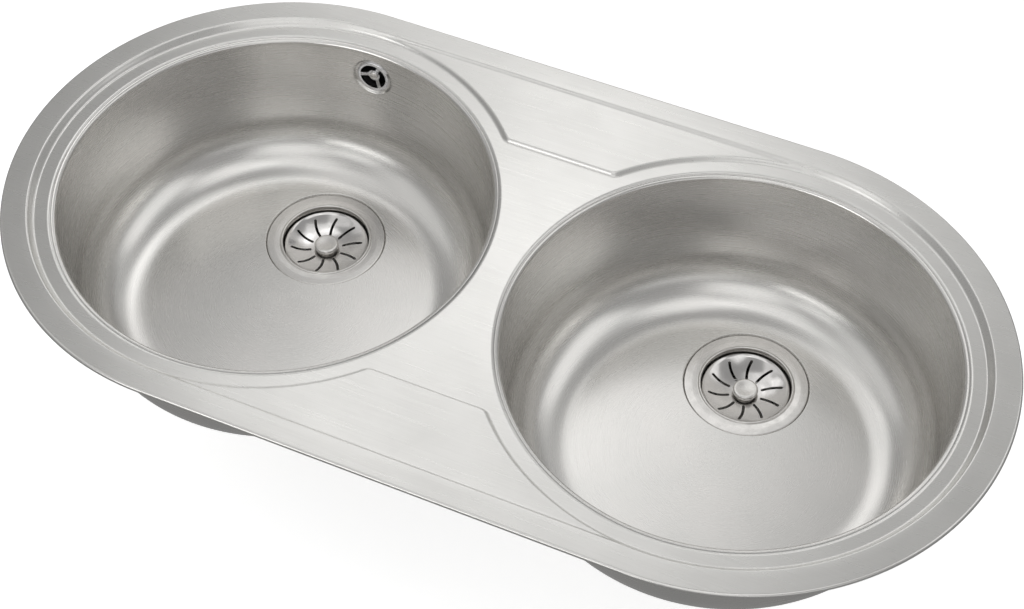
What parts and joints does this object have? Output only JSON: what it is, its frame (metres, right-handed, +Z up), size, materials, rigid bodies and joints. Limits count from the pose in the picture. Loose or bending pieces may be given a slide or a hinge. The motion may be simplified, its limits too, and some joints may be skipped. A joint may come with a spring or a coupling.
{
  "type": "double bowl kitchen sink",
  "caption": "Inset stainless kitchen sink with two round bowls side by side in one round-ended deck, basket strainer wastes, an overflow and rim clips.",
  "frame": {"origin": "middle of the worktop cut-out, in the plane of the worktop's top face, which is the underside of the rim's seal", "axes": "+X along the sink to the right bowl, +Y to the back, where the wastes and the overflow are, +Z up"},
  "size_m": [0.832, 0.44, 0.2502],
  "materials": {
    "pressed_steel": "satin brushed stainless sheet",
    "drawn_steel": "satin drawn stainless bowl",
    "polished_steel": "bright pressed stainless",
    "chrome_cover": "polished chrome",
    "zinc_steel": "bright zinc-plated steel",
    "white_plastic": "moulded polypropylene",
    "dark_plastic": "moulded dark polypropylene",
    "black_rubber": "black rubber",
    "foam_seal": "closed-cell foam strip"
  },
  "bodies": {
    "sink": {"deck_sheet": "pressed_steel", "rim_seal": "foam_seal", "clip_brackets": "zinc_steel", "left_bowl": "drawn_steel", "left_strainer_flange": "polished_steel", "left_flange_gasket": "black_rubber", "left_body_gasket": "black_rubber", "left_body_screw": "zinc_steel", "left_waste_body": "white_plastic", "right_bowl": "drawn_steel", "right_strainer_flange": "polished_steel", "right_flange_gasket": "black_rubber", "right_body_gasket": "black_rubber", "right_body_screw": "zinc_steel", "right_waste_body": "white_plastic", "overflow_cover": "chrome_cover", "overflow_screw": "polished_steel", "overflow_gasket": "black_rubber", "overflow_elbow": "dark_plastic", "overflow_pipe": "white_plastic", "overflow_elbow_nut": "dark_plastic", "overflow_inlet_nut": "dark_plastic"},
    "left_basket": {"left_basket_sieve": "polished_steel", "left_basket_knob": "polished_steel", "left_basket_stem": "white_plastic", "left_basket_seal": "black_rubber"},
    "right_basket": {"right_basket_sieve": "polished_steel", "right_basket_knob": "polished_steel", "right_basket_stem": "white_plastic", "right_basket_seal": "black_rubber"},
    "clip_1_screw": {"clip_1_screw": "zinc_steel"},
    "clip_1_nut": {"clip_1_nut": "zinc_steel"},
    "clip_1_claw": {"clip_1_claw": "zinc_steel"},
    "clip_2_screw": {"clip_2_screw": "zinc_steel"},
    "clip_2_nut": {"clip_2_nut": "zinc_steel"},
    "clip_2_claw": {"clip_2_claw": "zinc_steel"},
    "clip_3_screw": {"clip_3_screw": "zinc_steel"},
    "clip_3_nut": {"clip_3_nut": "zinc_steel"},
    "clip_3_claw": {"clip_3_claw": "zinc_steel"},
    "clip_4_screw": {"clip_4_screw": "zinc_steel"},
    "clip_4_nut": {"clip_4_nut": "zinc_steel"},
    "clip_4_claw": {"clip_4_claw": "zinc_steel"},
    "clip_5_screw": {"clip_5_screw": "zinc_steel"},
    "clip_5_nut": {"clip_5_nut": "zinc_steel"},
    "clip_5_claw": {"clip_5_claw": "zinc_steel"},
    "clip_6_screw": {"clip_6_screw": "zinc_steel"},
    "clip_6_nut": {"clip_6_nut": "zinc_steel"},
    "clip_6_claw": {"clip_6_claw": "zinc_steel"}
  },
  "joints": [
    {"name": "left_basket_lift", "type": "slide", "parent": "sink", "child": "left_basket", "axis": [0, 0, 1], "range_m": [0, 0.06]},
    {"name": "right_basket_lift", "type": "slide", "parent": "sink", "child": "right_basket", "axis": [0, 0, 1], "range_m": [0, 0.06]},
    {"name": "clip_1_screw_turn", "type": "hinge", "parent": "sink", "child": "clip_1_screw", "pos_m": [-0.098, -0.186, 0], "axis": [0, 0, 1], "range_deg": [-7650, 0]},
    {"name": "clip_1_nut_climb", "type": "slide", "parent": "sink", "child": "clip_1_nut", "axis": [0, 0, 1], "range_m": [0, 0.017]},
    {"name": "clip_1_claw_swing", "type": "hinge", "parent": "clip_1_nut", "child": "clip_1_claw", "pos_m": [-0.098, -0.186, 0], "axis": [0, 0, 1], "range_deg": [-90, 0]},
    {"name": "clip_2_screw_turn", "type": "hinge", "parent": "sink", "child": "clip_2_screw", "pos_m": [0.098, -0.186, 0], "axis": [0, 0, 1], "range_deg": [-7650, 0]},
    {"name": "clip_2_nut_climb", "type": "slide", "parent": "sink", "child": "clip_2_nut", "axis": [0, 0, 1], "range_m": [0, 0.017]},
    {"name": "clip_2_claw_swing", "type": "hinge", "parent": "clip_2_nut", "child": "clip_2_claw", "pos_m": [0.098, -0.186, 0], "axis": [0, 0, 1], "range_deg": [-90, 0]},
    {"name": "clip_3_screw_turn", "type": "hinge", "parent": "sink", "child": "clip_3_screw", "pos_m": [0.382, 0, 0], "axis": [0, 0, 1], "range_deg": [-7650, 0]},
    {"name": "clip_3_nut_climb", "type": "slide", "parent": "sink", "child": "clip_3_nut", "axis": [0, 0, 1], "range_m": [0, 0.017]},
    {"name": "clip_3_claw_swing", "type": "hinge", "parent": "clip_3_nut", "child": "clip_3_claw", "pos_m": [0.382, 0, 0], "axis": [0, 0, 1], "range_deg": [-90, 0]},
    {"name": "clip_4_screw_turn", "type": "hinge", "parent": "sink", "child": "clip_4_screw", "pos_m": [0.098, 0.186, 0], "axis": [0, 0, 1], "range_deg": [-7650, 0]},
    {"name": "clip_4_nut_climb", "type": "slide", "parent": "sink", "child": "clip_4_nut", "axis": [0, 0, 1], "range_m": [0, 0.017]},
    {"name": "clip_4_claw_swing", "type": "hinge", "parent": "clip_4_nut", "child": "clip_4_claw", "pos_m": [0.098, 0.186, 0], "axis": [0, 0, 1], "range_deg": [-90, 0]},
    {"name": "clip_5_screw_turn", "type": "hinge", "parent": "sink", "child": "clip_5_screw", "pos_m": [-0.098, 0.186, 0], "axis": [0, 0, 1], "range_deg": [-7650, 0]},
    {"name": "clip_5_nut_climb", "type": "slide", "parent": "sink", "child": "clip_5_nut", "axis": [0, 0, 1], "range_m": [0, 0.017]},
    {"name": "clip_5_claw_swing", "type": "hinge", "parent": "clip_5_nut", "child": "clip_5_claw", "pos_m": [-0.098, 0.186, 0], "axis": [0, 0, 1], "range_deg": [-90, 0]},
    {"name": "clip_6_screw_turn", "type": "hinge", "parent": "sink", "child": "clip_6_screw", "pos_m": [-0.382, 0, 0], "axis": [0, 0, 1], "range_deg": [-7650, 0]},
    {"name": "clip_6_nut_climb", "type": "slide", "parent": "sink", "child": "clip_6_nut", "axis": [0, 0, 1], "range_m": [0, 0.017]},
    {"name": "clip_6_claw_swing", "type": "hinge", "parent": "clip_6_nut", "child": "clip_6_claw", "pos_m": [-0.382, 0, 0], "axis": [0, 0, 1], "range_deg": [-90, 0]}
  ],
  "couplings": [
    {"joint": "clip_1_screw_turn", "follows": "clip_1_nut_climb", "rad_per_m": -7854},
    {"joint": "clip_2_screw_turn", "follows": "clip_2_nut_climb", "rad_per_m": -7854},
    {"joint": "clip_3_screw_turn", "follows": "clip_3_nut_climb", "rad_per_m": -7854},
    {"joint": "clip_4_screw_turn", "follows": "clip_4_nut_climb", "rad_per_m": -7854},
    {"joint": "clip_5_screw_turn", "follows": "clip_5_nut_climb", "rad_per_m": -7854},
    {"joint": "clip_6_screw_turn", "follows": "clip_6_nut_climb", "rad_per_m": -7854}
  ]
}
